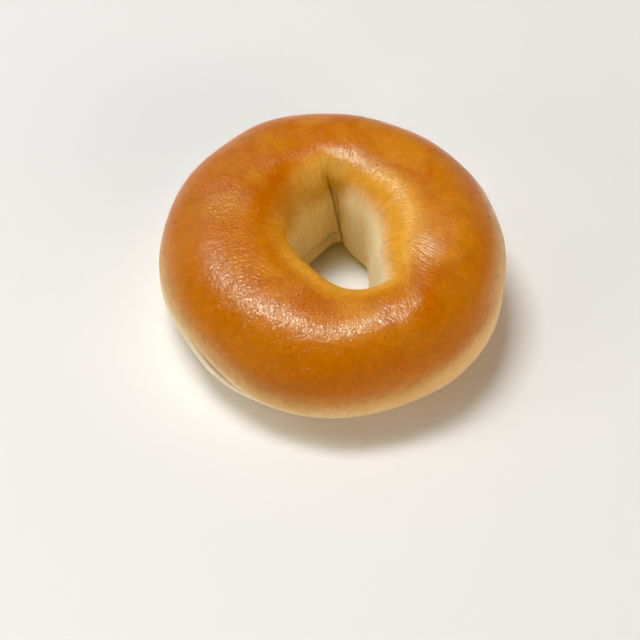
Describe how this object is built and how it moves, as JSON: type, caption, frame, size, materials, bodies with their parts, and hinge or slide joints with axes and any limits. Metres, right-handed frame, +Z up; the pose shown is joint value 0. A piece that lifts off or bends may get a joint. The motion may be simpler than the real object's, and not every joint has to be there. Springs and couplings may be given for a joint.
{
  "type": "bagel",
  "caption": "A plain whole bagel: a thick uneven ring of bread with a browned glossy crust, paler round the base, and a small hole with a seam in its far wall.",
  "frame": {"origin": "middle of the flat underside: the centre of the part's box in plan, at the height of the surface it rests on", "axes": "+Z up through the hole, the part's shortest way; +Y runs from the middle to the seam in the hole's far wall; +X to the right of that, seen from above"},
  "size_m": [0.1066, 0.1048, 0.0399],
  "materials": {
    "crust": "baked bread crust, glossy golden brown on top, matt cream round the base and in the hole"
  },
  "bodies": {
    "root": {"bagel": "crust"}
  },
  "joints": []
}
